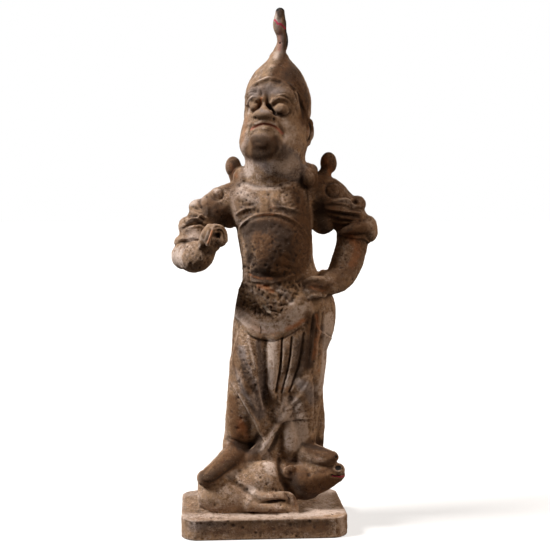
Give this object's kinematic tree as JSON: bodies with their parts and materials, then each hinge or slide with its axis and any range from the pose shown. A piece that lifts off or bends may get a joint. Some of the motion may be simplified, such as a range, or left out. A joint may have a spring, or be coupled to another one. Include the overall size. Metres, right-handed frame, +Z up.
{
  "type": "tomb guardian figure",
  "caption": "Standing guardian in fired clay on a crouching beast, with a hand on the hip, a raised fist, a pointed cap with a finial and a low slab plinth.",
  "frame": {"origin": "centre of the plinth's underside", "axes": "+Z up, the guardian's body faces -Y, +X towards the hand on the hip"},
  "size_m": [0.3209, 0.1973, 0.7999],
  "materials": {
    "fired_clay": "matt low-fired clay with worn slip, stains and pits"
  },
  "bodies": {
    "root": {"tomb_guardian": "fired_clay"}
  },
  "joints": []
}
